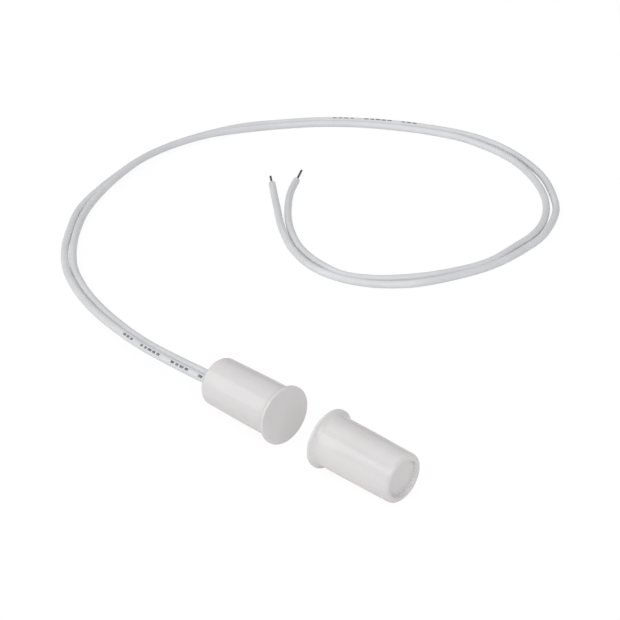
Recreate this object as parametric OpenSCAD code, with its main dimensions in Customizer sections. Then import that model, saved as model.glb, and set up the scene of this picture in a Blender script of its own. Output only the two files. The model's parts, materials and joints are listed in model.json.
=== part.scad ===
// Recessed magnetic contact: a switch half with two free leads, and its magnet half.
// Both halves press into drilled holes, flange outward, and their front faces meet across a gap.
// X runs from the switch half to the magnet half, and Z is up from the surface they lie on.
// The origin is on that surface, midway between the two front faces.

/* [Layout] */
// Distance between the two front faces
face_gap = 10.7; // [2:0.1:20]
// How far the magnet half's face centre lies to +Y of the switch half's axis
magnet_shift = 0.1; // [-0.3:0.05:0.3]
// Turn of the magnet half in plan, in degrees
magnet_turn = 3; // [-3:0.5:3]

/* [Housings] */
// Diameter of the flange
flange_d = 11.2; // [10.8:0.1:12.5]
// Thickness of the flange's rim
rim_t = 0.5; // [0.4:0.1:1]
// Radius on the front edge of the flange
front_round = 0.15; // [0.05:0.05:0.3]
// Length of the hollow flare behind the rim
flare_l = 1; // [0.6:0.1:2]
// Diameter of the straight stretch that grips the drilled hole
grip_d = 9.6; // [9.3:0.1:10.2]
// Length of that straight stretch
grip_l = 5; // [4:0.5:8]
// Diameter at the rear end, where the taper ends
tail_d = 9.3; // [8.8:0.1:9.4]
// Radius of the rounded rear edge
tail_round = 0.8; // [0.2:0.1:0.8]
// Thickness of the wall at the rear end
wall_t = 1.1; // [0.8:0.1:1.2]
// Thickness of the closed front wall
front_wall = 1; // [0.8:0.1:1.6]
// Radius in the bottom corner of the bore
bore_round = 0.4; // [0.1:0.1:0.6]

/* [Switch half] */
// Length of the switch half's housing
switch_l = 17.6; // [16.8:0.1:19]
// Diameter of the glass capsule
glass_d = 2.2; // [2:0.1:2.4]
// Length of the glass capsule
glass_l = 9; // [7:0.5:9]
// Thickness of the glass between the seals
glass_wall = 0.25; // [0.2:0.05:0.3]
// Length of the solid glass seal at each end
seal_l = 1.2; // [0.8:0.1:1.5]
// Diameter of the reed wires
reed_d = 0.5; // [0.4:0.05:0.55]
// Width of the flattened reed blades
blade_w = 1; // [0.7:0.1:1.2]
// Thickness of the reed blades
blade_t = 0.2; // [0.1:0.05:0.25]
// Length over which the two blades overlap
blade_lap = 0.8; // [0.5:0.1:1.5]
// Gap between the open blades
contact_gap = 0.1; // [0.05:0.05:0.2]
// Potting between the front wall and the folded reed wire
bend_cover = 1; // [0.5:0.1:1.2]
// Wall of the sleeve on the folded reed wire
sleeve_t = 0.15; // [0.1:0.05:0.2]
// Diameter of the solder beads
solder_d = 1.1; // [0.9:0.1:1.3]
// Length of the solder beads
solder_l = 1.6; // [1:0.1:2]
// Height of the potting's dome around the leads
dome_h = 0.4; // [0.1:0.1:0.8]

/* [Leads] */
// Diameter of a lead over its insulation
lead_d = 1.6; // [1.3:0.1:1.6]
// Diameter of the solid conductor
conductor_d = 0.5; // [0.4:0.05:0.6]
// Clearance between the two leads where they lie side by side
lead_clearance = 0.05; // [0.05:0.05:0.2]
// How far below the housing's axis the leads leave it
lead_drop = 0.65; // [0:0.05:0.8]
// Length of conductor bared inside the potting
inner_bare = 1.1; // [1:0.1:1.4]
// Length of conductor bared at the outer lead's free end
outer_bare = 4; // [2:0.5:8]
// Length of conductor bared at the inner lead's free end
inner_free_bare = 5.5; // [2:0.5:8]

/* [Magnet half] */
// Length of the magnet half's housing
magnet_l = 17.4; // [16.5:0.1:19]
// Diameter of the bar magnet
bar_d = 6.4; // [5.5:0.1:6.8]
// Length of the bar magnet
bar_l = 12.7; // [9:0.1:13.5]
// Thickness of adhesive behind the magnet
adhesive_t = 0.5; // [0.2:0.1:0.8]
// How far the rear cap lies below the rear end
cap_recess = 0.8; // [0.2:0.1:1.2]

/* [Hidden] */
round_fn = 96;
wire_fn = 32;
arc_steps = 6;
flare_steps = 8;
tube_sides = 8;
// Thickness of the thin slices that a blend runs between
slice_t = 0.05;
// How far a cut runs past the solid that it goes through
overrun = 1;

flange_r = flange_d / 2;
grip_r = grip_d / 2;
tail_r = tail_d / 2;
bore_r = tail_r - wall_t;
tail_edge = min(tail_round, wall_t - 0.1);
grip_start = rim_t + flare_l;
grip_end = grip_start + grip_l;

lead_r = lead_d / 2;
lead_pitch = lead_d + lead_clearance;
reed_r = reed_d / 2;
conductor_r = conductor_d / 2;
sleeve_r = reed_r + sleeve_t;

// The reed wire folds back on itself in a half turn, so that both ends meet their leads
bend_r = lead_pitch / 2;
bend_z = front_wall + bend_cover + reed_r + bend_r;
leg_stub = 0.3;
glass_start = bend_z + leg_stub;
glass_end = glass_start + glass_l;
solder_z = glass_end + leg_stub + solder_l / 2;
lead_start = solder_z + inner_bare;
blade_root = leg_stub * 2;
blade_mid = (glass_start + glass_end) / 2;

// Both halves rest on their flange rims, and the magnet half on its rounded rear edge as well
tail_mid = [magnet_l - tail_edge, tail_r - tail_edge];
rim_foot = [rim_t, flange_r];
foot_to_tail = tail_mid - rim_foot;
magnet_tilt = atan2(-foot_to_tail[1], foot_to_tail[0]) - asin(tail_edge / norm(foot_to_tail));
magnet_z = flange_r * cos(magnet_tilt) + rim_t * sin(magnet_tilt);

// The outer lead leaves the housing level and sinks to the surface: [x, y, height of its middle]
exit_straight = 2.8;
exit_x = -(face_gap / 2 + switch_l + exit_straight);
exit_z = flange_r - lead_drop;
OUTER_FALL = [[-35, -0.5, 4.5], [-46, 0.75, 3.5], [-56.25, 3, 2.4], [-67, 6, 1.4], [-76.5, 9.5, 0.9]];
// Then it lies on the surface in one open loop: [x, y]
OUTER_LOOP = [[-85.5, 14], [-92, 18.75], [-100, 26.75], [-105.5, 33.25], [-111, 43.75],
              [-114, 51.5], [-117, 60.75], [-118.25, 71.75], [-117.25, 82], [-114.75, 91],
              [-109.75, 99.5], [-104.25, 107], [-97, 113.75], [-89.75, 118.75], [-82, 122.75],
              [-73.25, 125.75], [-65.5, 126.25], [-56.25, 124.5], [-45.25, 119.75], [-38.25, 114.5],
              [-32.25, 108.5], [-28.25, 101.75], [-25.5, 94.5], [-24.75, 89.25], [-24.5, 78],
              [-26.75, 68.75], [-31.25, 59.25], [-36.5, 54.25], [-42.75, 51.5], [-49.5, 51],
              [-58.25, 53.5], [-66.5, 58.25], [-77.25, 66.5], [-86, 73.5]];
outer_route = concat([[exit_x, -lead_pitch / 2, exit_z]], OUTER_FALL,
                     [for (p = OUTER_LOOP) [p[0], p[1], lead_r]]);

// The inner lead keeps beside the outer one, on the inside of the loop: [extra room, rise]
BESIDE = [[0, 0], [0, -0.1], [0.1, -0.3], [0, -0.2], [0, 0], [0, 0],
          [0, 0.2], [0.2, 0.4], [0.1, 0.4], [0.3, 0.4], [0.2, 0.8], [0.1, 1],
          [0.3, 1.1], [0.3, 0.9], [0.1, 0.6], [0.3, 0.1], [0.1, 0],
          [0.2, 0], [0.2, 0], [0.4, 0], [0.5, 0], [0.8, 0], [1, 0],
          [0.6, 0], [0.7, 0], [0.4, 0], [0.5, 0], [0.2, 0], [0.4, 0],
          [0.5, 0], [0, 0], [0.4, 0], [1.1, 0], [0.6, 0], [0, 0],
          [0.4, 0], [0.1, 0], [0.1, 0], [1, 0]];
// Its last stretch turns away from the outer lead: [x, y]
INNER_END = [[-80.5, 74.25], [-83.5, 78.75]];
inner_route = concat([for (i = [0 : len(BESIDE) - 1]) beside_point(i)],
                     [for (p = INNER_END) [p[0], p[1], lead_r]]);

// Unit vector from point a to point b
function toward(a, b) = (b - a) / norm(b - a);

// Direction of a route at its point i, between its neighbours
function heading(route, i) =
    let (last = len(route) - 1)
    toward(route[max(i - 1, 0)], route[min(i + 1, last)]);

// Level unit vector to the right of a direction
function right_of(dir) = [dir[1], -dir[0], 0] / norm([dir[0], dir[1]]);

function beside_point(i) =
    let (rise = BESIDE[i][1],
         across = sqrt(lead_pitch * lead_pitch - rise * rise) + BESIDE[i][0])
    outer_route[i] + right_of(heading(outer_route, i)) * across + [0, 0, rise];

// Points of an arc of radius r about [cx, cy], from angle a to angle b
function arc(cx, cy, r, a, b) =
    [for (i = [0 : arc_steps]) let (t = a + (b - a) * i / arc_steps) [cx + r * cos(t), cy + r * sin(t)]];

// Outline of a housing from its front centre round to the rear end of its bore: [radius, depth]
function shell_points(l) = concat(
    [[0, 0]],
    arc(flange_r - front_round, front_round, front_round, -90, 0),
    [for (i = [0 : flare_steps])
        let (u = i / flare_steps)
        [grip_r + (flange_r - grip_r) * pow(1 - u, 2), rim_t + flare_l * u]],
    [[grip_r, grip_end]],
    arc(tail_r - tail_edge, l - tail_edge, tail_edge, 0, 90),
    [[bore_r, l]]);

// Outline of the bore's closed end, from its wall to its axis: [radius, depth]
function bore_end_points() = concat(
    arc(bore_r - bore_round, front_wall + bore_round, bore_round, 0, -90),
    [[0, front_wall]]);

// The switch half's own frame has depth along Z and up along X
module in_switch()
    translate([-face_gap / 2, 0, flange_r]) rotate([0, -90, 0]) children();

// The magnet half's own frame has depth along Z
module in_magnet()
    translate([face_gap / 2, magnet_shift, magnet_z])
        rotate([0, 0, magnet_turn]) rotate([0, 90 + magnet_tilt, 0]) children();

// A lead's place in the switch half: side -1 is the outer lead, 1 is the inner lead
module on_lead(side)
    translate([-lead_drop, side * lead_pitch / 2, 0]) children();

module housing(l)
    rotate_extrude($fn = round_fn)
        polygon(concat(shell_points(l), bore_end_points()));

// A solid that fills the bore from its closed end to the given depth
module bore_fill(depth)
    rotate_extrude($fn = round_fn)
        polygon(concat([[0, depth], [bore_r, depth]], bore_end_points()));

// A straight wire along the depth, from one depth to another
module wire(r, from, to)
    translate([0, 0, from]) cylinder(r = r, h = to - from, $fn = wire_fn);

// Outline of the outside of the glass capsule, with a rounded shoulder at each end
function glass_points() =
    let (r = glass_d / 2, s = seal_l / 2)
    concat([[0, glass_start]],
           arc(r - s, glass_start + s, s, -90, 0),
           arc(r - s, glass_end - s, s, 0, 90),
           [[0, glass_end]]);

// The space inside the capsule, with its ends coned toward the seals
module capsule_space() {
    r = glass_d / 2 - glass_wall;
    rotate_extrude($fn = wire_fn)
        polygon([[0, glass_start + seal_l], [reed_r, glass_start + seal_l],
                 [r, glass_start + seal_l + glass_wall * 2],
                 [r, glass_end - seal_l - glass_wall * 2],
                 [reed_r, glass_end - seal_l], [0, glass_end - seal_l]]);
}

// A flattened blade from a seal to its tip; up is the side of the gap that it lies on
module blade(root, tip, up) {
    rest = up * (contact_gap + blade_t) / 2;
    step = sign(tip - root);
    shoulder = root + step * blade_root;
    hull() {
        translate([0, 0, min(root, root + step * slice_t)])
            cylinder(r = reed_r, h = slice_t, $fn = wire_fn);
        translate([rest, 0, shoulder]) cube([blade_t, blade_w, slice_t], center = true);
    }
    translate([rest - blade_t / 2, -blade_w / 2, min(shoulder, tip)])
        cube([blade_t, blade_w, abs(tip - shoulder)]);
}

// The half turn and the straight stretch that fold the front reed's wire back beside the glass
module folded_wire(r) {
    translate([0, bend_r, bend_z]) rotate([-90, 0, 90])
        rotate_extrude(angle = 180, $fn = round_fn) translate([bend_r, 0]) circle(r = r, $fn = wire_fn);
    translate([0, lead_pitch, 0]) wire(r, bend_z, solder_z);
}

// A solder bead around the butted ends of a reed wire and a conductor
module solder_bead(solid)
    rotate_extrude($fn = wire_fn)
        polygon(concat(
            [for (i = [-arc_steps : arc_steps])
                let (t = i / arc_steps, low = i < 0 ? reed_r : conductor_r)
                [low + (solder_d / 2 - low) * sqrt(1 - t * t), solder_z + t * solder_l / 2]],
            solid ? [[0, solder_z + solder_l / 2], [0, solder_z - solder_l / 2]]
                  : [[conductor_r, solder_z], [reed_r, solder_z]]));

// One ring of a tube's corners around point i of its route
function ring(route, i, r) =
    let (dir = heading(route, i), side = right_of(dir), up = cross(side, dir))
    [for (k = [0 : tube_sides - 1])
        let (turn = 360 * k / tube_sides)
        route[i] + r * (cos(turn) * side + sin(turn) * up)];

// A many-sided tube swept along a route
module tube(route, r) {
    last = len(route) - 1;
    corners = [for (i = [0 : last]) each ring(route, i, r)];
    walls = [for (i = [0 : last - 1], k = [0 : tube_sides - 1])
        let (a = tube_sides * i + k, b = tube_sides * i + (k + 1) % tube_sides)
        each [[a, b, b + tube_sides], [a, b + tube_sides, a + tube_sides]]];
    near_end = [[for (k = [tube_sides - 1 : -1 : 0]) k]];
    far_end = [[for (k = [0 : tube_sides - 1]) tube_sides * last + k]];
    polyhedron(corners, concat(walls, near_end, far_end), convexity = 10);
}

// An insulated lead: straight through the potting, then along its route
module insulated(route, side) {
    in_switch() on_lead(side) wire(lead_r, lead_start, switch_l + exit_straight);
    tube(route, lead_r);
}

// The bared ends of a lead's conductor, inside the potting and at the free end
module conductor(route, side, bare) {
    last = len(route) - 1;
    dir = toward(route[last - 1], route[last]);
    in_switch() on_lead(side) wire(conductor_r, solder_z, lead_start);
    translate(route[last]) rotate([0, 90, atan2(dir[1], dir[0])])
        cylinder(r = conductor_r, h = bare, $fn = wire_fn);
}

module switch_housing() color([0.9, 0.89, 0.87]) in_switch() housing(switch_l);

module potting() color([0.93, 0.92, 0.87]) in_switch() difference() {
    rotate_extrude($fn = round_fn)
        polygon(concat(
            [for (i = [0 : arc_steps])
                let (u = i / arc_steps)
                [bore_r * u, switch_l + dome_h * (1 - u * u)]],
            bore_end_points()));
    on_lead(-1) {
        rotate_extrude($fn = wire_fn) polygon(glass_points());
        folded_wire(reed_r);
        wire(reed_r, bend_z, solder_z);
        translate([0, lead_pitch, 0]) wire(sleeve_r, glass_start, glass_end);
    }
    for (side = [-1, 1]) on_lead(side) {
        solder_bead(true);
        wire(conductor_r, solder_z, lead_start);
        wire(lead_r, lead_start, switch_l + exit_straight);
    }
}

module glass_capsule() color([0.75, 0.85, 0.82, 0.5]) in_switch() on_lead(-1) difference() {
    rotate_extrude($fn = wire_fn) polygon(glass_points());
    capsule_space();
    wire(reed_r, glass_start - overrun, glass_end + overrun);
}

module front_reed() color([0.72, 0.7, 0.66]) in_switch() on_lead(-1) {
    folded_wire(reed_r);
    wire(reed_r, bend_z, glass_start + seal_l);
    blade(glass_start + seal_l, blade_mid + blade_lap / 2, -1);
}

module rear_reed() color([0.72, 0.7, 0.66]) in_switch() on_lead(-1) {
    wire(reed_r, glass_end - seal_l, solder_z);
    blade(glass_end - seal_l, blade_mid - blade_lap / 2, 1);
}

module reed_sleeve() color([0.3, 0.3, 0.32]) in_switch() on_lead(1) difference() {
    wire(sleeve_r, glass_start, glass_end);
    wire(reed_r, glass_start - overrun, glass_end + overrun);
}

module outer_solder() color([0.7, 0.71, 0.72]) in_switch() on_lead(-1) solder_bead(false);

module inner_solder() color([0.7, 0.71, 0.72]) in_switch() on_lead(1) solder_bead(false);

module outer_conductor() color([0.45, 0.45, 0.46]) conductor(outer_route, -1, outer_bare);

module inner_conductor() color([0.45, 0.45, 0.46]) conductor(inner_route, 1, inner_free_bare);

module outer_lead() color([0.83, 0.84, 0.86]) insulated(outer_route, -1);

module inner_lead() color([0.83, 0.84, 0.86]) insulated(inner_route, 1);

module magnet_housing() color([0.9, 0.89, 0.87]) in_magnet() housing(magnet_l);

module bar_magnet() color([0.42, 0.42, 0.44]) in_magnet()
    translate([0, 0, front_wall]) cylinder(d = bar_d, h = bar_l, $fn = round_fn);

module magnet_adhesive() color([0.86, 0.8, 0.62]) in_magnet() difference() {
    bore_fill(front_wall + bar_l + adhesive_t);
    translate([0, 0, front_wall]) cylinder(d = bar_d, h = bar_l, $fn = round_fn);
}

module rear_cap() color([0.88, 0.87, 0.85]) in_magnet()
    translate([0, 0, front_wall + bar_l + adhesive_t])
        cylinder(r = bore_r, h = magnet_l - cap_recess - front_wall - bar_l - adhesive_t,
                 $fn = round_fn);

switch_housing();
potting();
glass_capsule();
front_reed();
rear_reed();
reed_sleeve();
outer_solder();
inner_solder();
outer_conductor();
inner_conductor();
outer_lead();
inner_lead();
magnet_housing();
bar_magnet();
magnet_adhesive();
rear_cap();
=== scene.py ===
"""Looks of a recessed magnetic contact: a switch half with two leads, and its magnet half."""

import json
import math

import bmesh
import bpy
import numpy as np
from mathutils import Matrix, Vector


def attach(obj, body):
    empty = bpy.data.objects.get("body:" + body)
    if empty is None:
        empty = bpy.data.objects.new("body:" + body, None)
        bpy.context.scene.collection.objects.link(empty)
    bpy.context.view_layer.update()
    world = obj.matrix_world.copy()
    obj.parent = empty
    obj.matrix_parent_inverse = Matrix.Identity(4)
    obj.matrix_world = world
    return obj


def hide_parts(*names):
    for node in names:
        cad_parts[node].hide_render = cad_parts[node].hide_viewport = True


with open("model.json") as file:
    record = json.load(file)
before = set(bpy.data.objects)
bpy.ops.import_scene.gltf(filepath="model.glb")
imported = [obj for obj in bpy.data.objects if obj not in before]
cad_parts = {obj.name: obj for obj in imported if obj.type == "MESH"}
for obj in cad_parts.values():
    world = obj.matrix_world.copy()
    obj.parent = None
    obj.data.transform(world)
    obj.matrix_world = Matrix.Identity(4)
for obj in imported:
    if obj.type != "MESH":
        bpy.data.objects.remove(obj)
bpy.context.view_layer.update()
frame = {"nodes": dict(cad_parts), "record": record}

MM = 0.001
# Below this area, in square metres, a face is empty
EMPTY_AREA = 1e-14

# Camera, in millimetres in the part's frame
CAMERA_AT = (222.28, -217.68, 195.8)
CAMERA_TO = (-38.11, 38.41, 0.0)
CAMERA_LENS = 119.84
SENSOR = 36.0
# Nearest and farthest distance that the camera sees, in metres
CAMERA_NEAR = 0.01
CAMERA_FAR = 10.0

# Sizes of the part that its leads follow, in millimetres
FACE_GAP = 10.7
SWITCH_L = 17.6
FLANGE_R = 5.6
LEAD_R = 0.8
LEAD_CLEARANCE = 0.05
LEAD_PITCH = 2 * LEAD_R + LEAD_CLEARANCE
# How far below the housing's axis the leads leave it
LEAD_DROP = 0.65
# Length of the leads' level stretch behind the housing
EXIT_STRAIGHT = 2.8
# Depth in the housing at which the leads' insulation starts
LEAD_START = 14.575

REAR_X = -(FACE_GAP / 2 + SWITCH_L)
EXIT_X = REAR_X - EXIT_STRAIGHT
EXIT_Z = FLANGE_R - LEAD_DROP

# The outer lead leaves the housing level and sinks to the surface: x, y, height of its middle
OUTER_FALL = [(-35, -0.5, 4.5), (-46, 0.75, 3.5), (-56.25, 3, 2.4), (-67, 6, 1.4), (-76.5, 9.5, 0.9)]
# Then it lies on the surface in one open loop: x, y
OUTER_LOOP = [
    (-85.5, 14), (-92, 18.75), (-100, 26.75), (-105.5, 33.25), (-111, 43.75),
    (-114, 51.5), (-117, 60.75), (-118.25, 71.75), (-117.25, 82), (-114.75, 91),
    (-109.75, 99.5), (-104.25, 107), (-97, 113.75), (-89.75, 118.75), (-82, 122.75),
    (-73.25, 125.75), (-65.5, 126.25), (-56.25, 124.5), (-45.25, 119.75), (-38.25, 114.5),
    (-32.25, 108.5), (-28.25, 101.75), (-25.5, 94.5), (-24.75, 89.25), (-24.5, 78),
    (-26.75, 68.75), (-31.25, 59.25), (-36.5, 54.25), (-42.75, 51.5), (-49.5, 51),
    (-58.25, 53.5), (-66.5, 58.25), (-77.25, 66.5), (-86, 73.5),
]
# The inner lead keeps beside it, on the inside of the loop: extra room, rise
BESIDE = [
    (0, 0), (0, -0.1), (0.1, -0.3), (0, -0.2), (0, 0), (0, 0),
    (0, 0.2), (0.2, 0.4), (0.1, 0.4), (0.3, 0.4), (0.2, 0.8), (0.1, 1),
    (0.3, 1.1), (0.3, 0.9), (0.1, 0.6), (0.3, 0.1), (0.1, 0),
    (0.2, 0), (0.2, 0), (0.4, 0), (0.5, 0), (0.8, 0), (1, 0),
    (0.6, 0), (0.7, 0), (0.4, 0), (0.5, 0), (0.2, 0), (0.4, 0),
    (0.5, 0), (0, 0), (0.4, 0), (1.1, 0), (0.6, 0), (0, 0),
    (0.4, 0), (0.1, 0), (0.1, 0), (1, 0),
]
# Its last stretch turns away from the outer lead: x, y
INNER_END = [(-80.5, 74.25), (-83.5, 78.75)]

# Millimetres from one ring of a drawn lead to the next, and how many sides each ring has
RING_STEP = 0.45
RING_SIDES = 28
# Points on a lead's straight start
START_POINTS = 12
# Points worked out for each ring before they are spaced evenly, and the fewest between two route points
POINTS_PER_RING = 2
FEWEST_POINTS = 4
# Radius on the edges of a lead's ends, and the angles of the rings that round them
END_ROUND = 0.12
END_ANGLES = (0.0, 30.0, 60.0)
# Millimetres of lead in one unit of U
U_LENGTH = 10.0

# Groups of plain marks along the outer lead: start in millimetres from its start, and how many
MARK_GROUPS = [(4.5, 2), (9.8, 4), (18.6, 5), (28.1, 3), (178.7, 4), (186.4, 5), (195.4, 3)]
# Millimetres from one mark to the next
MARK_STEP = 1.4
# Least and most of half a mark's length, as a share of that step
MARK_REACH = (0.26, 0.42)
# Where the marks sit round the lead, in turns, at its start and so many millimetres on
MARK_TURN_NEAR = 0.375
MARK_TURN_FAR = 0.22
FAR_AT = 197.0
# Half the width of a mark, in turns
MARK_HALF = 0.05

# Floor: half its width and how far it lies below the part, in metres, and its grey
FLOOR_HALF = 3.0
FLOOR_GAP = 0.00002
FLOOR_GREY = 0.85
# Strength of its glow, and the glow's share where the camera or a reflection meets the floor
GLOW = 1.06
GLOW_TO_CAMERA = 0.87
GLOW_TO_MIRROR = 0.35
# The world's light on the part, and what the camera sees of it
WORLD_LIGHT = 0.42
WORLD_SEEN = 1.0
# Lamps: name, place, aim, width and height in metres, and power in watts
LAMPS = [
    ("top", (-0.1, 0.05, 0.9), (-0.04, 0.03, 0), (0.9, 0.9), 1.2),
    ("front_left", (-0.7, -0.64, 0.4), (-0.03, 0.03, 0), (0.7, 0.75), 1.8),
    ("front", (0.1, -0.8, 0.55), (-0.03, 0.03, 0), (0.6, 0.5), 1.1),
    ("right", (0.7, -0.5, 0.55), (0, 0, 0), (0.8, 0.5), 2.7),
]


def make_camera():
    data = bpy.data.cameras.new("camera")
    data.lens = CAMERA_LENS
    data.sensor_width = SENSOR
    data.clip_start = CAMERA_NEAR
    data.clip_end = CAMERA_FAR
    cam = bpy.data.objects.new("camera", data)
    bpy.context.scene.collection.objects.link(cam)
    at = Vector(CAMERA_AT) * MM
    cam.location = at
    cam.rotation_euler = (Vector(CAMERA_TO) * MM - at).to_track_quat("-Z", "Y").to_euler()
    bpy.context.scene.camera = cam


make_camera()


# Routes of the leads

def heading(route, i):
    """Direction of a route at its point i, between its neighbours."""
    way = route[min(i + 1, len(route) - 1)] - route[max(i - 1, 0)]
    return way / np.linalg.norm(way)


def right_of(d):
    """Level direction to the right of a direction."""
    side = np.array([d[1], -d[0], 0.0])
    return side / np.linalg.norm(side)


def lengths_along(line):
    """Length from a line's start to each of its points."""
    return np.concatenate([[0.0], np.cumsum(np.linalg.norm(np.diff(line, axis=0), axis=1))])


outer_route = np.array(
    [(EXIT_X, -LEAD_PITCH / 2, EXIT_Z)] + OUTER_FALL + [(x, y, LEAD_R) for x, y in OUTER_LOOP]
)
inner_route = []
for i, (room, rise) in enumerate(BESIDE):
    across = math.sqrt(LEAD_PITCH ** 2 - rise ** 2) + room
    inner_route.append(
        outer_route[i] + right_of(heading(outer_route, i)) * across + np.array([0, 0, rise])
    )
inner_route = np.array(inner_route + [(x, y, LEAD_R) for x, y in INNER_END])


def smooth(route, spacing):
    """Evenly spaced points on a smooth curve through a route's points."""
    t = lengths_along(route)
    slope = np.gradient(route, t, axis=0)
    out = []
    for i in range(len(route) - 1):
        h = t[i + 1] - t[i]
        count = max(FEWEST_POINTS, int(h / spacing * POINTS_PER_RING))
        for u in np.linspace(0, 1, count, endpoint=False):
            a = 2 * u ** 3 - 3 * u ** 2 + 1
            b = u ** 3 - 2 * u ** 2 + u
            c = -2 * u ** 3 + 3 * u ** 2
            d = u ** 3 - u ** 2
            out.append(a * route[i] + b * h * slope[i] + c * route[i + 1] + d * h * slope[i + 1])
    out.append(route[-1])
    out = np.array(out)
    s = lengths_along(out)
    even = np.linspace(0, s[-1], int(s[-1] / spacing) + 1)
    return np.stack([np.interp(even, s, out[:, k]) for k in range(3)], axis=1)


def centre_line(route, side):
    """A lead's whole line, which stays in the box of its points: straight out, then its route."""
    start = np.array([-(FACE_GAP / 2 + LEAD_START), side * LEAD_PITCH / 2, EXIT_Z])
    straight = np.linspace(start, route[0], START_POINTS)[:-1]
    line = np.vstack([straight, route])
    return np.clip(smooth(line, RING_STEP), line.min(axis=0), line.max(axis=0))


def new_object(name, verts, faces, loop_uv=None):
    mesh = bpy.data.meshes.new(name)
    mesh.from_pydata([tuple(v) for v in verts], [], faces)
    if loop_uv is not None:
        layer = mesh.uv_layers.new(name="along")
        layer.data.foreach_set("uv", np.asarray(loop_uv, dtype=np.float32).ravel())
    mesh.validate()
    mesh.update()
    obj = bpy.data.objects.new(name, mesh)
    bpy.context.scene.collection.objects.link(obj)
    for p in mesh.polygons:
        p.use_smooth = True
    return obj


def lead_tube(name, line, radius, sides=RING_SIDES):
    """A round tube on a line, with rounded edges at both ends. U is the length, V the way round."""
    tang = np.array([heading(line, i) for i in range(len(line))])
    s = lengths_along(line)
    rings = []
    ring_s = []

    def add(centre, d, r, at):
        side = right_of(d)
        up = np.cross(side, d)
        rings.append([
            centre + r * (math.cos(a) * side + math.sin(a) * up)
            for a in [2 * math.pi * k / sides for k in range(sides)]
        ])
        ring_s.append(at)

    def add_rounded(i, inward, angles):
        """Rings at the line's end point i; inward is 1 at the start of the line and -1 at its end."""
        for q in angles:
            back = inward * END_ROUND * (1 - math.cos(math.radians(q)))
            r = radius - END_ROUND * (1 - math.sin(math.radians(q)))
            add(line[i] + tang[i] * back, tang[i], r, s[i] + back)

    add_rounded(0, 1, END_ANGLES)
    for i in range(1, len(line) - 1):
        add(line[i], tang[i], radius, s[i])
    add_rounded(-1, -1, END_ANGLES[::-1])

    verts = [v * MM for ring in rings for v in ring]
    faces, uv = [], []
    for i in range(len(rings) - 1):
        for k in range(sides):
            k2 = (k + 1) % sides
            faces.append([i * sides + k, (i + 1) * sides + k, (i + 1) * sides + k2, i * sides + k2])
            for row, turn in ((i, k), (i + 1, k), (i + 1, k + 1), (i, k + 1)):
                uv.append((ring_s[row] / U_LENGTH, turn / sides))
    for row, order in ((0, range(sides)), (len(rings) - 1, range(sides - 1, -1, -1))):
        faces.append([row * sides + k for k in order])
        uv += [(ring_s[row] / U_LENGTH, k / sides) for k in order]
    return new_object(name, verts, faces, uv)


outer_line = centre_line(outer_route, -1)
inner_line = centre_line(inner_route, 1)
outer_jacket = lead_tube("outer_jacket", outer_line, LEAD_R)
inner_jacket = lead_tube("inner_jacket", inner_line, LEAD_R)
for jacket, line, side, cad in (
    (outer_jacket, outer_line, -1, "outer_lead"),
    (inner_jacket, inner_line, 1, "inner_lead"),
):
    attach(jacket, "root")
    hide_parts(cad)


# Materials

class Nodes:
    """Short names for the nodes that the materials below are wired from."""

    def __init__(self, name):
        self.mat = bpy.data.materials.new(name)
        self.mat.use_nodes = True
        self.tree = self.mat.node_tree
        self.tree.nodes.clear()
        self.out = self.add("ShaderNodeOutputMaterial")
        self.bsdf = self.add("ShaderNodeBsdfPrincipled")
        self.link(self.bsdf.outputs["BSDF"], self.out.inputs["Surface"])

    def add(self, kind, **values):
        node = self.tree.nodes.new(kind)
        for key, value in values.items():
            setattr(node, key, value)
        return node

    def link(self, a, b):
        self.tree.links.new(a, b)

    def feed(self, value, socket):
        """Puts a number or a colour on a socket, or links a node's output to it."""
        if isinstance(value, (int, float)):
            socket.default_value = value
        elif isinstance(value, tuple):
            socket.default_value = (*value, 1)
        elif value is not None:
            self.link(value, socket)

    def set(self, **values):
        for key, value in values.items():
            self.bsdf.inputs[key.replace("_", " ")].default_value = value

    def coords(self):
        return self.add("ShaderNodeTexCoord").outputs["Object"]

    def noise(self, vector, scale, detail=3.0, roughness=0.5):
        node = self.add("ShaderNodeTexNoise")
        node.inputs["Scale"].default_value = scale
        node.inputs["Detail"].default_value = detail
        node.inputs["Roughness"].default_value = roughness
        self.link(vector, node.inputs["Vector"])
        return node.outputs["Fac"]

    def stretched(self, vector, scale):
        node = self.add("ShaderNodeMapping")
        node.inputs["Scale"].default_value = scale
        self.link(vector, node.inputs["Vector"])
        return node.outputs["Vector"]

    def ramp(self, fac, stops):
        node = self.add("ShaderNodeValToRGB")
        ramp = node.color_ramp
        ramp.elements[0].position, ramp.elements[0].color = stops[0][0], (*stops[0][1], 1)
        ramp.elements[1].position, ramp.elements[1].color = stops[-1][0], (*stops[-1][1], 1)
        for pos, col in stops[1:-1]:
            e = ramp.elements.new(pos)
            e.color = (*col, 1)
        self.link(fac, node.inputs["Fac"])
        return node.outputs["Color"]

    def spread(self, fac, low, high):
        node = self.add("ShaderNodeMapRange")
        node.inputs["To Min"].default_value = low
        node.inputs["To Max"].default_value = high
        self.link(fac, node.inputs["Value"])
        return node.outputs["Result"]

    def mix(self, fac, a, b):
        node = self.add("ShaderNodeMix", data_type="RGBA", blend_type="MIX")
        for value, socket in ((fac, node.inputs[0]), (a, node.inputs[6]), (b, node.inputs[7])):
            self.feed(value, socket)
        return node.outputs[2]

    def math(self, kind, a, b=None):
        node = self.add("ShaderNodeMath", operation=kind)
        self.feed(a, node.inputs[0])
        self.feed(b, node.inputs[1])
        return node.outputs[0]

    def bump(self, height, strength, distance):
        node = self.add("ShaderNodeBump")
        node.inputs["Strength"].default_value = strength
        node.inputs["Distance"].default_value = distance
        self.link(height, node.inputs["Height"])
        self.link(node.outputs["Normal"], self.bsdf.inputs["Normal"])


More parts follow.
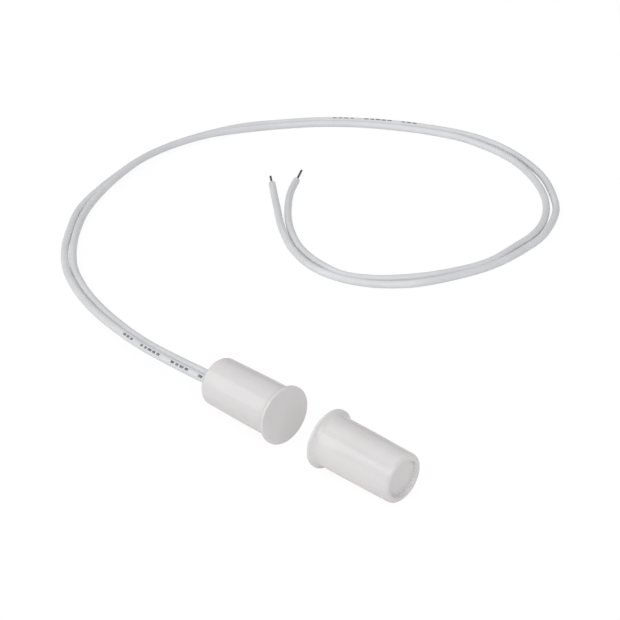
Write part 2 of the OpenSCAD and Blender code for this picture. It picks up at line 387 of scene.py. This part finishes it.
def srgb(*c):
    """Linear colour of an sRGB colour that is given in levels of 0 to 255."""
    return tuple(((v / 255 + 0.055) / 1.055) ** 2.4 if v > 10 else v / 255 / 12.92 for v in c)


def moulded_plastic():
    m = Nodes("housing_plastic")
    at = m.coords()
    cloud = m.noise(at, scale=90.0)
    fine = m.noise(at, scale=2600.0, detail=4.0, roughness=0.6)
    colour = m.ramp(cloud, [(0.3, srgb(230, 227, 227)), (0.52, srgb(234, 231, 232)),
                            (0.72, srgb(237, 234, 233))])
    m.link(colour, m.bsdf.inputs["Base Color"])
    m.link(m.spread(fine, low=0.04, high=0.12), m.bsdf.inputs["Roughness"])
    m.set(IOR=1.53, Subsurface_Weight=0.12, Subsurface_Scale=0.0012, Subsurface_Radius=(1, 0.8, 0.7))
    m.bump(fine, strength=0.12, distance=0.00002)
    return m.mat


def cured_resin():
    m = Nodes("potting_resin")
    at = m.coords()
    cloud = m.noise(at, scale=260.0, detail=4.0)
    fine = m.noise(at, scale=1500.0)
    colour = m.ramp(cloud, [(0.3, srgb(228, 226, 217)), (0.7, srgb(238, 237, 230))])
    m.link(colour, m.bsdf.inputs["Base Color"])
    m.link(m.spread(fine, low=0.18, high=0.34), m.bsdf.inputs["Roughness"])
    m.set(IOR=1.5, Subsurface_Weight=0.15, Subsurface_Scale=0.001)
    m.bump(cloud, strength=0.25, distance=0.00006)
    return m.mat


def jacket_plastic(marks):
    """The leads' insulation, with generic printed marks on one of them."""
    m = Nodes("lead_insulation_marked" if marks else "lead_insulation")
    uv = m.add("ShaderNodeUVMap", uv_map="along").outputs["UV"]
    at = m.coords()
    cloud = m.noise(at, scale=140.0)
    draw = m.noise(m.stretched(uv, (3.0, 60.0, 1.0)), scale=1.0)
    fine = m.noise(at, scale=3200.0, detail=2.0)
    colour = m.ramp(cloud, [(0.3, srgb(230, 231, 234)), (0.7, srgb(238, 239, 241))])
    if marks:
        colour = m.mix(print_marks(m, uv, at), colour, srgb(62, 62, 64))
    m.link(colour, m.bsdf.inputs["Base Color"])
    m.link(m.spread(fine, low=0.28, high=0.4), m.bsdf.inputs["Roughness"])
    m.set(IOR=1.52, Subsurface_Weight=0.03, Subsurface_Scale=0.0004, Subsurface_Radius=(1, 0.9, 0.8))
    height = m.math("ADD", m.math("MULTIPLY", draw, 0.6), m.math("MULTIPLY", fine, 0.4))
    m.bump(height, strength=0.2, distance=0.00003)
    return m.mat


def print_marks(m, uv, at):
    """Short worn dashes in groups along the lead, on the side of it that the camera sees."""
    parts = m.add("ShaderNodeSeparateXYZ")
    m.link(uv, parts.inputs[0])
    along = m.math("MULTIPLY", parts.outputs["X"], U_LENGTH)
    bars = None
    for start, count in MARK_GROUPS:
        step = m.math("DIVIDE", m.math("SUBTRACT", along, start), MARK_STEP)
        here = m.math("MULTIPLY", m.math("GREATER_THAN", step, 0.0),
                      m.math("LESS_THAN", step, float(count)))
        cell = m.add("ShaderNodeTexWhiteNoise", noise_dimensions="1D")
        m.link(m.math("ADD", m.math("FLOOR", step), start), cell.inputs["W"])
        reach = m.spread(cell.outputs["Value"], *MARK_REACH)
        off = m.math("ABSOLUTE", m.math("SUBTRACT", m.math("FRACT", step), 0.5))
        bar = m.math("MULTIPLY", here, m.math("LESS_THAN", off, reach))
        bars = bar if bars is None else m.math("MAXIMUM", bars, bar)
    turn = m.math("ADD", MARK_TURN_NEAR,
                  m.math("MULTIPLY", along, (MARK_TURN_FAR - MARK_TURN_NEAR) / FAR_AT))
    off = m.math("ABSOLUTE", m.math("SUBTRACT", parts.outputs["Y"], turn))
    mask = m.math("MULTIPLY", bars, m.math("LESS_THAN", off, MARK_HALF))
    worn = m.spread(m.noise(at, scale=1500.0, detail=2.0), low=0.35, high=1.15)
    return m.math("MINIMUM", m.math("MULTIPLY", mask, worn), 1.0)


def clear_glass():
    m = Nodes("capsule_glass")
    at = m.coords()
    wave = m.noise(at, scale=500.0, detail=2.0)
    m.link(m.ramp(wave, [(0.3, (0.86, 0.93, 0.9)), (0.7, (0.9, 0.96, 0.93))]),
           m.bsdf.inputs["Base Color"])
    m.link(m.spread(wave, low=0.02, high=0.06), m.bsdf.inputs["Roughness"])
    m.set(IOR=1.5, Transmission_Weight=0.9)
    m.bump(wave, strength=0.1, distance=0.00002)
    return m.mat


def metal(name, dark, light, rough):
    m = Nodes(name)
    at = m.coords()
    streak = m.noise(at, scale=1500.0, detail=4.0, roughness=0.6)
    cloud = m.noise(at, scale=187.5)
    colour = m.ramp(m.math("MULTIPLY", m.math("ADD", streak, cloud), 0.5),
                    [(0.35, dark), (0.65, light)])
    m.link(colour, m.bsdf.inputs["Base Color"])
    m.link(m.spread(streak, low=rough - 0.08, high=rough + 0.12), m.bsdf.inputs["Roughness"])
    m.set(Metallic=1.0)
    m.bump(streak, strength=0.3, distance=0.00002)
    return m.mat


def plain_plastic(name, dark, light, rough):
    m = Nodes(name)
    at = m.coords()
    cloud = m.noise(at, scale=400.0, detail=4.0)
    fine = m.noise(at, scale=2600.0)
    m.link(m.ramp(cloud, [(0.3, dark), (0.7, light)]), m.bsdf.inputs["Base Color"])
    m.link(m.spread(fine, low=rough - 0.06, high=rough + 0.1), m.bsdf.inputs["Roughness"])
    m.bump(fine, strength=0.2, distance=0.00003)
    return m.mat


LOOKS = {
    "housing_plastic": moulded_plastic(),
    "potting_resin": cured_resin(),
    "capsule_glass": clear_glass(),
    "reed_wire": metal("reed_wire", (0.42, 0.4, 0.37), (0.6, 0.58, 0.54), rough=0.3),
    "sleeve_plastic": plain_plastic("sleeve_plastic", (0.03, 0.03, 0.035), (0.05, 0.05, 0.055), rough=0.45),
    "solder": metal("solder", (0.45, 0.46, 0.48), (0.7, 0.71, 0.73), rough=0.28),
    "conductor_metal": metal("conductor_metal", (0.09, 0.09, 0.092), (0.24, 0.24, 0.245), rough=0.38),
    "lead_insulation": jacket_plastic(False),
    "magnet_metal": metal("magnet_metal", (0.16, 0.16, 0.17), (0.3, 0.3, 0.31), rough=0.42),
    "adhesive": plain_plastic("adhesive", srgb(196, 184, 146), srgb(214, 203, 168), rough=0.35),
}
MARKED = jacket_plastic(True)


def dress(obj, mat):
    obj.data.materials.clear()
    obj.data.materials.append(mat)


def drop_empty_faces(obj):
    """Takes out faces with no area, which can be left where a revolved surface meets its axis."""
    mesh = bmesh.new()
    mesh.from_mesh(obj.data)
    empty = [face for face in mesh.faces if face.calc_area() < EMPTY_AREA]
    if empty:
        bmesh.ops.delete(mesh, geom=empty, context="FACES")
        mesh.to_mesh(obj.data)
    mesh.free()


for part in frame["record"]["subparts"]:
    solid = frame["nodes"][part["node"]]
    dress(solid, LOOKS[part["material_slot"]])
    drop_empty_faces(solid)
dress(outer_jacket, MARKED)
dress(inner_jacket, LOOKS["lead_insulation"])


# Floor, background and lamps

def make_floor():
    """A matt floor that keeps the part's shadow and shows white to the camera."""
    h = FLOOR_HALF
    floor = new_object("floor", [(-h, -h, 0), (h, -h, 0), (h, h, 0), (-h, h, 0)], [[0, 1, 2, 3]])
    floor.location.z = -FLOOR_GAP
    mat = bpy.data.materials.new("floor")
    mat.use_nodes = True
    tree = mat.node_tree
    tree.nodes.clear()
    out = tree.nodes.new("ShaderNodeOutputMaterial")
    matt = tree.nodes.new("ShaderNodeBsdfDiffuse")
    matt.inputs["Color"].default_value = (FLOOR_GREY, FLOOR_GREY, FLOOR_GREY, 1)
    glow = tree.nodes.new("ShaderNodeEmission")
    glow.inputs["Color"].default_value = (1, 1, 1, 1)
    glow.inputs["Strength"].default_value = GLOW
    blend = tree.nodes.new("ShaderNodeMixShader")
    path = tree.nodes.new("ShaderNodeLightPath")
    share = tree.nodes.new("ShaderNodeMath")
    share.operation = "MULTIPLY_ADD"
    share.inputs[1].default_value = GLOW_TO_CAMERA
    mirrored = tree.nodes.new("ShaderNodeMath")
    mirrored.operation = "MULTIPLY"
    mirrored.inputs[1].default_value = GLOW_TO_MIRROR
    tree.links.new(path.outputs["Is Glossy Ray"], mirrored.inputs[0])
    tree.links.new(mirrored.outputs[0], share.inputs[2])
    tree.links.new(path.outputs["Is Camera Ray"], share.inputs[0])
    tree.links.new(share.outputs[0], blend.inputs["Fac"])
    tree.links.new(matt.outputs[0], blend.inputs[1])
    tree.links.new(glow.outputs[0], blend.inputs[2])
    tree.links.new(blend.outputs[0], out.inputs["Surface"])
    floor.data.materials.append(mat)


def make_world():
    """A plain white world, which lights the part less brightly than the camera sees it."""
    world = bpy.data.worlds.new("world")
    bpy.context.scene.world = world
    world.use_nodes = True
    tree = world.node_tree
    tree.nodes.clear()
    out = tree.nodes.new("ShaderNodeOutputWorld")
    back = tree.nodes.new("ShaderNodeBackground")
    back.inputs["Color"].default_value = (1, 1, 1, 1)
    path = tree.nodes.new("ShaderNodeLightPath")
    level = tree.nodes.new("ShaderNodeMapRange")
    level.inputs["To Min"].default_value = WORLD_LIGHT
    level.inputs["To Max"].default_value = WORLD_SEEN
    tree.links.new(path.outputs["Is Camera Ray"], level.inputs["Value"])
    tree.links.new(level.outputs["Result"], back.inputs["Strength"])
    tree.links.new(back.outputs[0], out.inputs["Surface"])


def lamp(name, at, to, size, power):
    data = bpy.data.lights.new(name, "AREA")
    data.shape = "RECTANGLE"
    data.size, data.size_y = size
    data.energy = power
    obj = bpy.data.objects.new(name, data)
    bpy.context.scene.collection.objects.link(obj)
    at, to = Vector(at), Vector(to)
    obj.location = at
    obj.rotation_euler = (to - at).to_track_quat("-Z", "Y").to_euler()


make_floor()
make_world()
for values in LAMPS:
    lamp(*values)

bpy.context.scene.view_settings.view_transform = "Standard"
